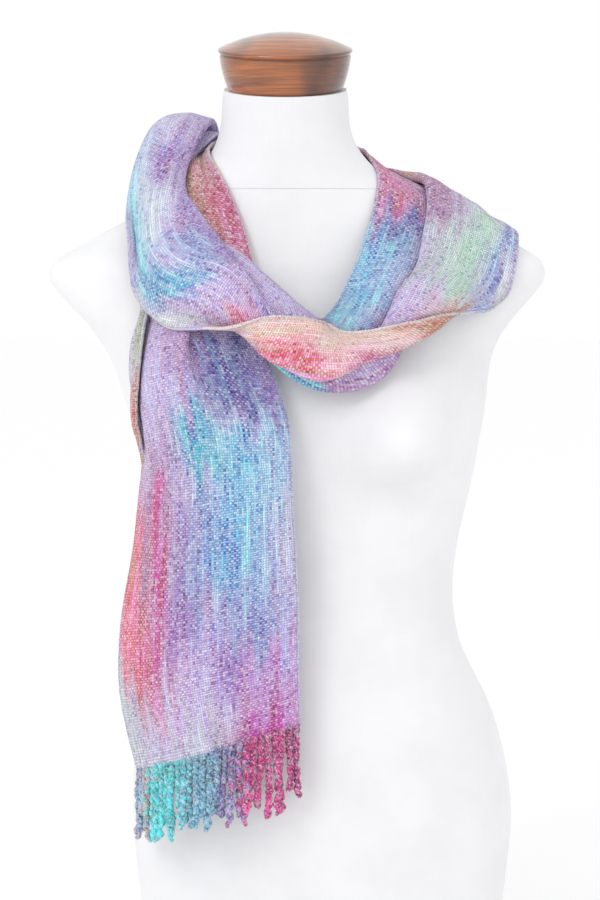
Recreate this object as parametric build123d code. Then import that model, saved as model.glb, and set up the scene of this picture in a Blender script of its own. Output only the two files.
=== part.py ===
from build123d import *
import math
import os

# Display dress form dressed with a hand-woven fringed scarf. Millimetres, +Z up, the form faces -Y.
# The origin is the mouth of the pole socket, in the plane that the form's rim stands on.

# ---------------------------------------------------------------- driving dimensions
COVER_T = 1.0            # stretch jersey skin
SKIN_GAP = 0.3           # between the skin and the shell it is pulled over
SHELL_T = 4.0            # moulded shell wall
BOND_GAP = 0.1           # bond line between pieces that are glued or pressed together
HEM_Z = 3.0              # lower edge of the jersey, just above the shell's rim
SEAM_Z = 679.0           # seam between the torso's jersey and the neck's
PARTING_Y = -3.0         # the shell is moulded as a front and a back half
SECTION_POINTS = 40

NECK_LEAN = 10.0         # degrees that the neck leans forward
NECK_TOP = (-31.5, -6.0, 762.0)   # centre of the shell's cut at the neck
NECK_PLATE_T = 12.0
NECK_EDGE_R = 42.0       # the neck's jersey is turned in to this radius
NECK_SCREW_L = 24.0
SCREW_R = 2.0            # 4 mm countersunk wood screws, here and in the base
SCREW_HEAD_R = 4.0
SCREW_HEAD_H = 2.4
SCREW_SINK = 0.7         # heads lie below the shell's rounded surface

CAP_FOOT_R = 49.4        # turned neck cap: tapered body, groove, rim and dome
CAP_BODY_R = 55.8
CAP_RIM_R = 57.0
CAP_BODY_H = 30.0
CAP_GROOVE_W = 1.6
CAP_GROOVE_D = 2.4
CAP_RIM_H = 3.4
CAP_DOME_H = 13.3
CAP_GAP = 0.2            # under the cap's foot
PEG_R = 6.0
PEG_FIT = 0.05           # radial running clearance of the peg
PEG_IN_CAP = 26.0
PEG_IN_BUSHING = 30.0
BUSHING_R = 9.0
BUSHING_L = 34.0
BUSHING_FLANGE_R = 14.0

POLE_BORE_R = 12.8       # takes a 25.4 mm stand pole with clearance
SLEEVE_R = 15.0
SOCKET_DEPTH = 200.0     # the pole's end stops here, against the plug
SLEEVE_TOP = 210.0
PLUG_SEAT_R = 13.8       # counterbore in the sleeve's top end that the plug is pressed into
BASE_Z = 45.0            # underside of the recessed base plate
BASE_T = 12.0
BLOCK_SIZE = 34.0
BLOCK_H = 25.0
BLOCK_ANGLES = (25, 90, 155, 205, 270, 335)
BASE_SCREW_L = 30.0
FLANGE_R = 48.0
FLANGE_T = 4.0
BOLT_CIRCLE_R = 36.0
BOLT_R = 3.0             # M6
BOLT_HEAD_R = 5.6
BOLT_HEAD_H = 4.0
BOLT_TOP = 64.0
TNUT_R = 4.0
TNUT_FLANGE_R = 9.0
TNUT_FLANGE_T = 1.5
TNUT_DEPTH = 9.0

COLLAR_R = 21.0
COLLAR_LOW = 12.0
COLLAR_HIGH = 36.0
LOCK_Z = 24.0            # height of the thumb screw through the collar
LOCK_R = 4.0             # M8
LOCK_TIP_Y = 13.1        # the screw's tip, drawn back clear of the bore
LOCK_TRAVEL = 3.3
KNOB_GAP = 0.3           # left between knob and collar when the screw is run right in
KNOB_BOSS_R = 9.0
KNOB_BOSS_L = 8.0
KNOB_R = 13.0
KNOB_L = 12.0
KNOB_LOBES = 5
LOBE_R = 3.4

CLOTH_GAP = 1.2          # between the scarf and the jersey

# ---------------------------------------------------------------- the body form
# height, half width, centre's x, depth in front, depth behind, squareness of the section
LEVELS = [
    (-20, 150, 0, 88, 92, 2.15),
    (0, 152, 0, 89, 96, 2.15),
    (62, 157, 0, 93, 105, 2.2),
    (111, 162, 0, 95, 112, 2.2),
    (140, 164, 0, 96, 114, 2.2),
    (168, 163, -1, 96, 112, 2.2),
    (208, 157, -3, 94, 104, 2.2),
    (247, 146, -6, 92, 93, 2.15),
    (286, 131, -10, 89, 81, 2.1),
    (318, 125.5, -12, 87, 76, 2.1),
    (340, 124.5, -12, 86, 75, 2.1),
    (375, 128, -12, 88, 79, 2.15),
    (430, 140, -12, 92, 88, 2.25),
    (457, 145, -12, 93, 92, 2.3),
    (482, 150.5, -13, 92, 96, 2.35),
    (507, 156, -15, 89, 99, 2.4),
    (533, 162, -18, 85, 101, 2.4),
    (552, 171, -20, 80, 102, 2.4),
    (574, 188, -21, 74, 101, 2.4),
    (593, 205, -21.5, 69, 98, 2.4),
    (604, 211.5, -21.5, 66, 96, 2.4),
    (612, 211, -21, 64, 93, 2.4),
    (620, 205.5, -20, 61, 90, 2.4),
    (629, 191, -19, 58, 87, 2.35),
    (640, 172, -19, 55, 84, 2.3),
    (655, 142, -21, 52, 79, 2.25),
    (670, 116, -24, 50, 74, 2.2),
    (685, 92, -28, 49.5, 68, 2.15),
    (699, 73.5, -30, 50, 62, 2.1),
    (712, 63, -31, 51, 57, 2.1),
    (727, 56.5, -31.5, 52.5, 53, 2.05),
    (745, 54, -31.5, 54.5, 48, 2.0),
    (763, 52.4, -31.5, 57, 44, 2.0),
    (790, 51.5, -31.5, 60, 38, 2.0),
]
BUST = {"x": 88, "z": 470, "out": 46, "wide": 44, "above": 52, "below": 34}
SEAT = {"x": 62, "z": 128, "out": 12, "wide": 42, "above": 56, "below": 60}
BLADE = {"x": 84, "z": 556, "out": 6, "wide": 40, "above": 40, "below": 52}


def level(z):
    """The five figures of the body at a height, on a smooth curve through LEVELS."""
    i = max(1, min(len(LEVELS) - 3, sum(1 for row in LEVELS if row[0] <= z) - 1))
    rows = LEVELS[i - 1:i + 3]
    z0, z1, z2, z3 = (row[0] for row in rows)
    t = (z - z1) / (z2 - z1)
    found = []
    for k in range(1, 6):
        p0, p1, p2, p3 = (row[k] for row in rows)
        m1 = (p2 - p0) / (z2 - z0) * (z2 - z1)
        m2 = (p3 - p1) / (z3 - z1) * (z2 - z1)
        found.append((2 * t**3 - 3 * t**2 + 1) * p1 + (t**3 - 2 * t**2 + t) * m1
                     + (3 * t**2 - 2 * t**3) * p2 + (t**3 - t**2) * m2)
    return found


def swell(form, x, z):
    """How far a pair of rounded forms, such as the bust, stands out at a place."""
    tall = form["above"] if z > form["z"] else form["below"]
    side = (abs(x) - form["x"]) / form["wide"]
    return form["out"] * math.exp(-side**2 - ((z - form["z"]) / tall) ** 2)


def body_point(angle, z):
    """A point of the finished form's outer surface; angle 0 is +X and a quarter turn is the back."""
    half, centre, front, behind, square = level(z)
    c, s = math.cos(angle), math.sin(angle)
    x = half * math.copysign(abs(c) ** (2 / square), c)
    y = math.copysign(abs(s) ** (2 / square), s)
    if y < 0:
        return Vector(centre + x, front * y - swell(BUST, x, z) * min(1, -3 * y), z)
    out = swell(SEAT, x, z) + swell(BLADE, x, z)
    return Vector(centre + x, behind * y + out * min(1, 3 * y), z)


def inset_point(angle, z, inset):
    """The point at height z of the surface that lies inset below the outer one."""
    at = z
    for _ in range(5):
        here = body_point(angle, at)
        round_it = body_point(angle + 0.02, at) - body_point(angle - 0.02, at)
        up_it = body_point(angle, at + 1) - body_point(angle, at - 1)
        point = here - round_it.cross(up_it).normalized() * inset
        at += z - point.Z
    return point


def body_solid(inset):
    """A closed solid of the whole form, inset below its outer surface and running past both its ends."""
    knots = [i / SECTION_POINTS for i in range(SECTION_POINTS + 1)]
    rings = []
    for row in LEVELS:
        angles = [2 * math.pi * (i + 0.5) / SECTION_POINTS for i in range(SECTION_POINTS)]
        points = [inset_point(angle, row[0], inset) for angle in angles]
        flat = [Vector(p.X, p.Y, row[0]) for p in points]
        rings.append(Face(Wire(Edge.make_spline(flat, periodic=True, parameters=knots))))
    return loft(rings)


# ---------------------------------------------------------------- small helpers
LEAN = math.radians(NECK_LEAN)
NECK_DIR = Vector(0, -math.sin(LEAN), math.cos(LEAN))
PAST_ALL = 1200


def neck_plane(height):
    """A plane square to the neck's axis, at a height above the shell's cut."""
    return Plane(origin=Vector(*NECK_TOP) + NECK_DIR * height, x_dir=(1, 0, 0), z_dir=NECK_DIR)


def slab(plane, thickness):
    """A very wide slab standing on a plane, used to trim the form."""
    return plane * Pos(0, 0, thickness / 2) * Box(PAST_ALL, PAST_ALL, thickness)


def below_neck(height):
    """Everything below the neck's cut, raised by a height."""
    return slab(neck_plane(height - PAST_ALL), PAST_ALL)


def level_slab(low, high):
    return slab(Plane.XY.offset(low), high - low)


def rod(plane, radius, low, high):
    """A round bar along a plane's axis, between two heights."""
    return plane * Pos(0, 0, (low + high) / 2) * Cylinder(radius, high - low)


def tube(plane, outer, inner, low, high):
    return rod(plane, outer, low, high) - rod(plane, inner, low - 1, high + 1)


def wood_screw(plane, length, spare=0.0):
    """A countersunk screw whose head lies flush in the plane and whose point is below it."""
    head = plane * Pos(0, 0, -SCREW_HEAD_H / 2) * Cone(SCREW_R + spare, SCREW_HEAD_R + spare, SCREW_HEAD_H)
    return head + rod(plane, SCREW_R + spare, -length - spare, -SCREW_HEAD_H / 2)


# ---------------------------------------------------------------- shell and jersey
INNER = COVER_T + SKIN_GAP + SHELL_T
STAND = Plane.XY
BASE_UNDER = Plane.XY.offset(BASE_Z)


def neck_screw_planes():
    """Four planes facing out of the shell's neck, at the middle of the neck plate's edge."""
    planes = []
    for quarter in range(4):
        angle = math.radians(45 + 90 * quarter)
        z = NECK_TOP[2]
        for _ in range(6):
            point = inset_point(angle, z, COVER_T + SKIN_GAP + SCREW_SINK)
            z -= (point - Vector(*NECK_TOP)).dot(NECK_DIR) + NECK_PLATE_T / 2
        centre = Vector(*NECK_TOP) - NECK_DIR * (NECK_PLATE_T / 2)
        planes.append(Plane(origin=point, z_dir=point - centre))
    return planes


def shell_halves(outer, inner):
    """The moulded shell, bonded along its sides, open at the neck and at the rim."""
    wall = (outer & below_neck(0) & level_slab(0, PAST_ALL)) - inner
    for plane in neck_screw_planes():
        wall = wall - wood_screw(plane, NECK_SCREW_L, BOND_GAP / 2)
    back = Pos(0, PARTING_Y + BOND_GAP / 2 + PAST_ALL / 2, 0) * Box(PAST_ALL, PAST_ALL, 2 * PAST_ALL)
    front = Pos(0, PARTING_Y - BOND_GAP / 2 - PAST_ALL / 2, 0) * Box(PAST_ALL, PAST_ALL, 2 * PAST_ALL)
    return wall & front, wall & back


def jersey(outside, inside):
    """The torso's stretch skin, and the neck's, which is turned in over the shell's cut edge."""
    skin = (outside & below_neck(SKIN_GAP + COVER_T)) - (inside & below_neck(SKIN_GAP))
    skin = skin - rod(neck_plane(0), NECK_EDGE_R, -COVER_T, 3 * COVER_T)
    return skin & level_slab(HEM_Z, SEAM_Z - BOND_GAP), skin & level_slab(SEAM_Z + BOND_GAP, PAST_ALL)


# ---------------------------------------------------------------- neck plate and cap
def neck_plate(cavity):
    plate = cavity & slab(neck_plane(-NECK_PLATE_T), NECK_PLATE_T)
    plate = plate - rod(neck_plane(0), BUSHING_R + BOND_GAP, -2 * NECK_PLATE_T, NECK_PLATE_T)
    for plane in neck_screw_planes():
        plate = plate - wood_screw(plane, NECK_SCREW_L, BOND_GAP / 2)
    return plate


CAP_FOOT = SKIN_GAP + COVER_T + CAP_GAP
BUSHING_TOP = SKIN_GAP + COVER_T


def cap_bushing():
    """A flanged brass bush that stands in the neck plate and guides the cap's peg."""
    tube_part = tube(neck_plane(0), BUSHING_R, PEG_R + PEG_FIT, BUSHING_TOP - BUSHING_L, BUSHING_TOP)
    flange = tube(neck_plane(0), BUSHING_FLANGE_R, PEG_R + PEG_FIT, BOND_GAP, BUSHING_TOP)
    return tube_part + flange


def cap_peg():
    peg = rod(neck_plane(0), PEG_R, BUSHING_TOP - PEG_IN_BUSHING, CAP_FOOT + PEG_IN_CAP)
    return chamfer(peg.edges().filter_by(GeomType.CIRCLE), 0.8)


def neck_cap():
    """The turned cap: a tapered body with a slight belly, a deep groove, and a domed lid with a thin rim."""
    groove_low = CAP_BODY_H
    rim_low = CAP_BODY_H + CAP_GROOVE_W
    dome_low = rim_low + CAP_RIM_H
    dome_r = CAP_RIM_R - 1.2
    foot_turn = 2.0
    belly = (CAP_FOOT_R + CAP_BODY_R) / 2 + 0.9
    groove_r = CAP_BODY_R - CAP_GROOVE_D
    with BuildSketch(Plane.XZ) as profile:
        with BuildLine():
            Line((0, 0), (CAP_FOOT_R - foot_turn, 0))
            Line((CAP_FOOT_R - foot_turn, 0), (CAP_FOOT_R, foot_turn))
            ThreePointArc((CAP_FOOT_R, foot_turn), (belly, CAP_BODY_H * 0.5), (CAP_BODY_R, CAP_BODY_H - 1.4))
            Line((CAP_BODY_R, CAP_BODY_H - 1.4), (CAP_BODY_R - 0.8, groove_low))
            Line((CAP_BODY_R - 0.8, groove_low), (groove_r, groove_low))
            Line((groove_r, groove_low), (groove_r, rim_low))
            Line((groove_r, rim_low), (CAP_RIM_R - 1.0, rim_low))
            ThreePointArc((CAP_RIM_R - 1.0, rim_low), (CAP_RIM_R, rim_low + CAP_RIM_H * 0.4), (dome_r, dome_low))
            Line((dome_r, dome_low), (0, dome_low))
            Line((0, dome_low), (0, 0))
        make_face()
    ball_r = (dome_r**2 + CAP_DOME_H**2) / (2 * CAP_DOME_H)
    ball = Pos(0, 0, dome_low + CAP_DOME_H - ball_r) * Sphere(ball_r)
    dome = ball & (Pos(0, 0, dome_low + ball_r / 2) * Cylinder(CAP_RIM_R, ball_r))
    turned = revolve(profile.sketch, Axis.Z) + dome
    bore = Pos(0, 0, (PEG_IN_CAP + CAP_GAP) / 2) * Cylinder(PEG_R + PEG_FIT, PEG_IN_CAP + CAP_GAP)
    return neck_plane(CAP_FOOT) * (turned - bore)


# ---------------------------------------------------------------- base and pole socket
def block_places():
    """Where the six base blocks are glued to the shell's inside."""
    return [inset_point(math.radians(a), BASE_Z + BASE_T, INNER + 13) for a in BLOCK_ANGLES]


def base_screw_planes():
    """The screws point up, so each plane faces down out of the base plate's underside."""
    return [Plane(origin=(p.X, p.Y, BASE_Z), z_dir=(0, 0, -1)) for p in block_places()]


def bolt_places():
    return [(BOLT_CIRCLE_R * math.cos(a), BOLT_CIRCLE_R * math.sin(a))
            for a in (math.radians(45 + 90 * i) for i in range(4))]


def base_plate(cavity):
    plate = cavity & level_slab(BASE_Z, BASE_Z + BASE_T)
    plate = plate - rod(STAND, SLEEVE_R + BOND_GAP, 0, SLEEVE_TOP)
    for x, y in bolt_places():
        plate = plate - rod(Plane(origin=(x, y, 0)), TNUT_R + BOND_GAP, 0, SLEEVE_TOP)
    for plane in base_screw_planes():
        plate = plate - wood_screw(plane, BASE_SCREW_L, BOND_GAP / 2)
    return plate


def base_blocks(cavity):
    """Six blocks bonded inside the shell, which the base plate is screwed up against."""
    low = BASE_Z + BASE_T + BOND_GAP
    blocks = []
    for place, plane in zip(block_places(), base_screw_planes()):
        block = Pos(place.X, place.Y, low + BLOCK_H / 2) * Box(BLOCK_SIZE, BLOCK_SIZE, BLOCK_H)
        blocks.append((block & cavity) - wood_screw(plane, BASE_SCREW_L, BOND_GAP / 2))
    return Compound(children=[solid for block in blocks for solid in block.solids()])


def lock_hole(part):
    """The part with the clearance hole for the thumb screw, on its back."""
    hole = Plane(origin=(0, 0, LOCK_Z), z_dir=(0, 1, 0))
    return part - rod(hole, LOCK_R + PEG_FIT, 0, 2 * COLLAR_R)


def pole_sleeve():
    """The steel tube that the pole runs up into, counterbored at the top for its plug."""
    sleeve = tube(STAND, SLEEVE_R, POLE_BORE_R, 0, SLEEVE_TOP)
    return lock_hole(sleeve - rod(STAND, PLUG_SEAT_R, SOCKET_DEPTH, SLEEVE_TOP + 1))


def sleeve_collar():
    return lock_hole(tube(STAND, COLLAR_R, SLEEVE_R + BOND_GAP, COLLAR_LOW, COLLAR_HIGH))


def sleeve_flange():
    flange = tube(STAND, FLANGE_R, SLEEVE_R + BOND_GAP, BASE_Z - FLANGE_T - BOND_GAP, BASE_Z - BOND_GAP)
    for x, y in bolt_places():
        flange = flange - rod(Plane(origin=(x, y, 0)), BOLT_R + BOND_GAP, 0, SLEEVE_TOP)
    return flange


def flange_bolt(x, y):
    """A hexagon-head bolt, head down under the flange."""
    under = BASE_Z - FLANGE_T - 2 * BOND_GAP
    head = extrude(Plane(origin=(x, y, under - BOLT_HEAD_H)) * RegularPolygon(BOLT_HEAD_R, 6), BOLT_HEAD_H)
    return head + rod(Plane(origin=(x, y, 0)), BOLT_R, under, BOLT_TOP)


def flange_tnut(x, y):
    """A T-nut let into the base plate from above."""
    top = BASE_Z + BASE_T
    at = Plane(origin=(x, y, 0))
    barrel = tube(at, TNUT_R, BOLT_R + BOND_GAP, top - TNUT_DEPTH, top + BOND_GAP + TNUT_FLANGE_T)
    return barrel + tube(at, TNUT_FLANGE_R, BOLT_R + BOND_GAP, top + BOND_GAP, top + BOND_GAP + TNUT_FLANGE_T)


LOCK_AXIS = Plane(origin=(0, 0, LOCK_Z), x_dir=(1, 0, 0), z_dir=(0, 1, 0))
KNOB_FACE = COLLAR_R + LOCK_TRAVEL + KNOB_GAP


def lock_screw():
    shank = rod(LOCK_AXIS, LOCK_R, LOCK_TIP_Y, KNOB_FACE + KNOB_BOSS_L + KNOB_L * 0.6)
    return chamfer(shank.edges().filter_by(GeomType.CIRCLE), 0.7)


def lock_knob():
    """A lobed plastic knob on the thumb screw's outer end."""
    grip_low = KNOB_FACE + KNOB_BOSS_L
    knob = rod(LOCK_AXIS, KNOB_BOSS_R, KNOB_FACE, grip_low) + rod(LOCK_AXIS, KNOB_R, grip_low, grip_low + KNOB_L)
    for lobe in range(KNOB_LOBES):
        angle = 2 * math.pi * lobe / KNOB_LOBES
        x, y = (KNOB_R - 1) * math.cos(angle), (KNOB_R - 1) * math.sin(angle)
        spot = LOCK_AXIS * Pos(x, y, grip_low + KNOB_L / 2)
        knob = knob + spot * Cylinder(LOBE_R, KNOB_L)
    return knob - rod(LOCK_AXIS, LOCK_R + PEG_FIT, 0, grip_low + KNOB_L * 0.6 + CAP_GAP)


# ---------------------------------------------------------------- scarf
# Each section of the folded cloth: the middle of its chord, half its width as a vector towards the
# inner selvedge, half its thickness, and how far it bows outwards. The tail runs up the breast, the
# loop goes round behind the neck and down to the chest, and the roll crosses back over the tail's
# shoulder and hangs down the back.
TAIL = [
    ((-86, -96, 217), (66, -22, 23), 6, 28),
    ((-95, -92, 277), (74, -26, 19), 6, 34),
    ((-95, -93, 335), (73, -27, 15), 6, 35),
    ((-90, -96, 445), (62, -22, 8), 7, 35),
    ((-91, -92, 484), (61, -20, 7), 7, 33),
    ((-100, -80, 522), (57, -24, 6), 7, 32),
    ((-100, -59, 593), (45, -19, 4), 7, 18),
    ((-106, -42, 630), (42, -20, 7), 7, 14),
    ((-110, -24, 662), (37, -20, 12), 7, 11),
    ((-116, 0, 685), (34, -16, 20), 7, 7),
    ((-112, 51, 681), (28, -29, 43), 6, 8),
]
LOOP = [
    TAIL[-1],
    ((-80, 82, 673), (18, -30, 61), 6, 10),
    ((-31, 90, 665), (0, -24, 73), 6, 8),
    ((23, 83, 672), (-21, -27, 62), 6, 11),
    ((74, 57, 677), (-44, -27, 45), 6, 9),
    ((100, 14, 674), (-58, -8, 38), 7, 14),
    ((105, -13, 654), (-58, -15, 32), 7, 12),
    ((101, -35, 631), (-58, -21, 26), 8, 12),
    ((90, -53, 605), (-58, -25, 20), 8, 14),
    ((74, -79, 584), (-55, -13, 13), 10, 14),
]
ROLL = [
    LOOP[-1],
    ((40, -106, 548), (-26, -2, 26), 13, 4),
    ((6, -114, 540), (-6, 4, 28), 12, 4),
    ((-26, -114, 545), (8, 6, 27), 13, 4),
    ((-56, -112, 566), (19, 8, 25), 13, 6),
    ((-82, -99, 586), (27, 11, 27), 12, 14),
    ((-109, -80, 601), (32, 4, 27), 12, 18),
    ((-127, -60, 623), (30, 0, 22), 12, 24),
    ((-140, -36, 656), (27, 0, 14), 12, 24),
    ((-136, -9, 687), (27, 3, 12), 12, 26),
    ((-117, 25, 723), (31, -1, 19), 11, 22),
    ((-115, 67, 702), (31, -9, 22), 10, 18),
    ((-109, 93, 663), (43, -5, 21), 8, 15),
    ((-102, 106, 617), (58, 2, 11), 7, 20),
    ((-100, 109, 564), (68, 9, 6), 6, 25),
    ((-99, 110, 507), (71, 12, 5), 6, 24),
    ((-97, 109, 392), (73, 15, 4), 6, 24),
    ((-95, 113, 276), (71, 15, 4), 6, 21),
]
CLOTH_POINTS = 12
FRINGE_L = 72.0
FRINGE_CLEAR = 1.0       # below the cloth's cut end
FRINGE_WIDTH = 0.98      # of the cloth's
FRINGE_HALF_T = 5.0


def run_direction(stations, i):
    ahead = Vector(*stations[min(i + 1, len(stations) - 1)][0])
    behind = Vector(*stations[max(i - 1, 0)][0])
    return (ahead - behind).normalized()


def cloth_section(centre, across, out, depth, bow):
    """The corners of one section of the cloth: a flat oval, bowed outwards in its middle."""
    ring = []
    for k in range(CLOTH_POINTS):
        angle = 2 * math.pi * k / CLOTH_POINTS
        rise = depth * math.sin(angle) + bow * math.sin(angle) ** 2
        ring.append(centre + across * math.cos(angle) + out * rise)
    return ring


def facet(*corners):
    return Face(Wire.make_polygon(corners, close=True))


def closed_skin(rings):
    """A closed faceted solid through rings of corners."""
    faces = [fan for ring in (rings[0], rings[-1]) for fan in end_facets(ring)]
    for ring, after in zip(rings, rings[1:]):
        for k in range(len(ring)):
            n = (k + 1) % len(ring)
            faces += [facet(ring[k], ring[n], after[k]), facet(ring[n], after[n], after[k])]
    return Solid(Shell(faces))


def end_facets(ring):
    """A strip of triangles across an end, since a bowed end need not be flat."""
    low, high = 0, len(ring) - 1
    facets = []
    while high - low > 1:
        facets.append(facet(ring[low], ring[low + 1], ring[high]))
        low += 1
        if high - low > 1:
            facets.append(facet(ring[low], ring[high - 1], ring[high]))
            high -= 1
    return facets


def cloth_run(stations):
    """A closed faceted solid of the cloth along one stretch of its path."""
    rings = []
    for i, (centre, across, depth, bow) in enumerate(stations):
        out = Vector(*across).cross(run_direction(stations, i)).normalized()
        rings.append(cloth_section(Vector(*centre), Vector(*across), out, depth, bow))
    return closed_skin(rings)


def scarf_cloth(body):
    return (cloth_run(TAIL) + cloth_run(LOOP) + cloth_run(ROLL)) - body


def fringe(station, sign):
    """The row of yarn ends below one end of the cloth, hanging straight down in front or behind."""
    centre, across, _, bow = station
    rings = []
    for drop in (FRINGE_CLEAR, FRINGE_L):
        ring = []
        for side, thick in [(-1, 1), (-0.4, 1), (0.4, 1), (1, 1), (1, -1), (0.4, -1), (-0.4, -1), (-1, -1)]:
            point = Vector(*centre) + Vector(*across) * side * FRINGE_WIDTH
            bulge = sign * (bow * (1 - side**2) + thick * FRINGE_HALF_T)
            ring.append(Vector(point.X, point.Y + bulge, point.Z - drop))
        rings.append(ring)
    return closed_skin(rings)


# ---------------------------------------------------------------- all the pieces
def build():
    outside, inside = body_solid(0), body_solid(COVER_T)
    shell_outer, shell_inner = body_solid(COVER_T + SKIN_GAP), body_solid(INNER)
    cavity = body_solid(INNER + BOND_GAP)
    pieces = {}
    pieces["torso_shell_front"], pieces["torso_shell_back"] = shell_halves(shell_outer, shell_inner)
    pieces["torso_cover"], pieces["neck_cover"] = jersey(outside, inside)
    pieces["neck_plate"] = neck_plate(cavity)
    pieces["neck_plate_screws"] = Compound(children=[wood_screw(p, NECK_SCREW_L) for p in neck_screw_planes()])
    pieces["cap_bushing"] = cap_bushing()
    pieces["cap_peg"] = cap_peg()
    pieces["neck_cap"] = neck_cap()
    pieces["base_plate"] = base_plate(cavity)
    pieces["base_blocks"] = base_blocks(cavity)
    pieces["base_screws"] = Compound(children=[wood_screw(p, BASE_SCREW_L) for p in base_screw_planes()])
    pieces["pole_sleeve"] = pole_sleeve()
    pieces["sleeve_collar"] = sleeve_collar()
    pieces["sleeve_flange"] = sleeve_flange()
    pieces["sleeve_plug"] = rod(STAND, PLUG_SEAT_R - BOND_GAP, SOCKET_DEPTH + BOND_GAP, SLEEVE_TOP)
    pieces["flange_bolts"] = Compound(children=[flange_bolt(x, y) for x, y in bolt_places()])
    pieces["flange_tnuts"] = Compound(children=[flange_tnut(x, y) for x, y in bolt_places()])
    pieces["lock_screw"] = lock_screw()
    pieces["lock_knob"] = lock_knob()
    pieces["scarf_cloth"] = scarf_cloth(body_solid(-CLOTH_GAP))
    pieces["scarf_front_fringe"] = fringe(TAIL[0], -1)
    pieces["scarf_back_fringe"] = fringe(ROLL[-1], 1)
    return pieces


if __name__ == "__main__":
    os.makedirs("parts", exist_ok=True)
    for name, piece in build().items():
        export_step(piece, f"parts/{name}.step")
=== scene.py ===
import bpy
import math
import random
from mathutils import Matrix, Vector
from mathutils.bvhtree import BVHTree


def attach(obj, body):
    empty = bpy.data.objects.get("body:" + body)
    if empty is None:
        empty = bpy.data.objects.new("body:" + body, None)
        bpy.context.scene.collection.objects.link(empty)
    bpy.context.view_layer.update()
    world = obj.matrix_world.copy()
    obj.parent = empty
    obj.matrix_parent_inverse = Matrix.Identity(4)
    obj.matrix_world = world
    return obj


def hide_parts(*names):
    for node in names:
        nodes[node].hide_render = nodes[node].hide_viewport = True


# A white jersey dress form with a turned wood neck cap, wearing a hand-woven chenille scarf.
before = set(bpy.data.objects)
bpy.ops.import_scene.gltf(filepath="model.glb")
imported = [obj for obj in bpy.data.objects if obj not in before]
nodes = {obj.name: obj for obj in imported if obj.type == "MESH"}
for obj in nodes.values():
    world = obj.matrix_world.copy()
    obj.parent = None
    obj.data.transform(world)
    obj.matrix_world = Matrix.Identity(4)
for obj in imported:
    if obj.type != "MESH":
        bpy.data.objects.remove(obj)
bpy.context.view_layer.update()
MM = 0.001

# ---------------------------------------------------------------- the scarf's sizes, in millimetres
CLOTH_WIDTH = 180
CLOTH_THICKNESS = 2.6
YARN_PITCH = 2.1
COLUMNS = 32
ROW_STEP = 6.5
LAYER_GAP = 4.0          # between the layers of a pleat or a turned-over edge
SLACK_IN_BOW = 8         # slack that a section takes up by bulging before it pleats
BODY_CLEARANCE = 2.4     # from the jersey to the middle of the cloth
OVER_TAIL = 5.0          # more clearance where the roll crosses the tail
CLOSE_FROM, CLOSE_TO = 12, 19.5  # the stations between which the cloth lies close on the shoulders
CLOSE_LOFT = 3           # how far it may stand off there at its edges
MIDDLE_LOFT = 4          # and how much more than that in its middle
FREE_LOFT = 60           # how much more it may stand off for each station beyond them
FRINGE_LENGTH = 66
TASSELS = 28
TASSEL_STEPS = 26
TASSEL_CLEARANCE = 2.6
PLY_RADIUS = 2.25
PLY_OFFSET = 1.5         # from the middle of a twisted pair to the middle of each yarn
SELVEDGE_RADII = (1.15, 1.75)

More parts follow.
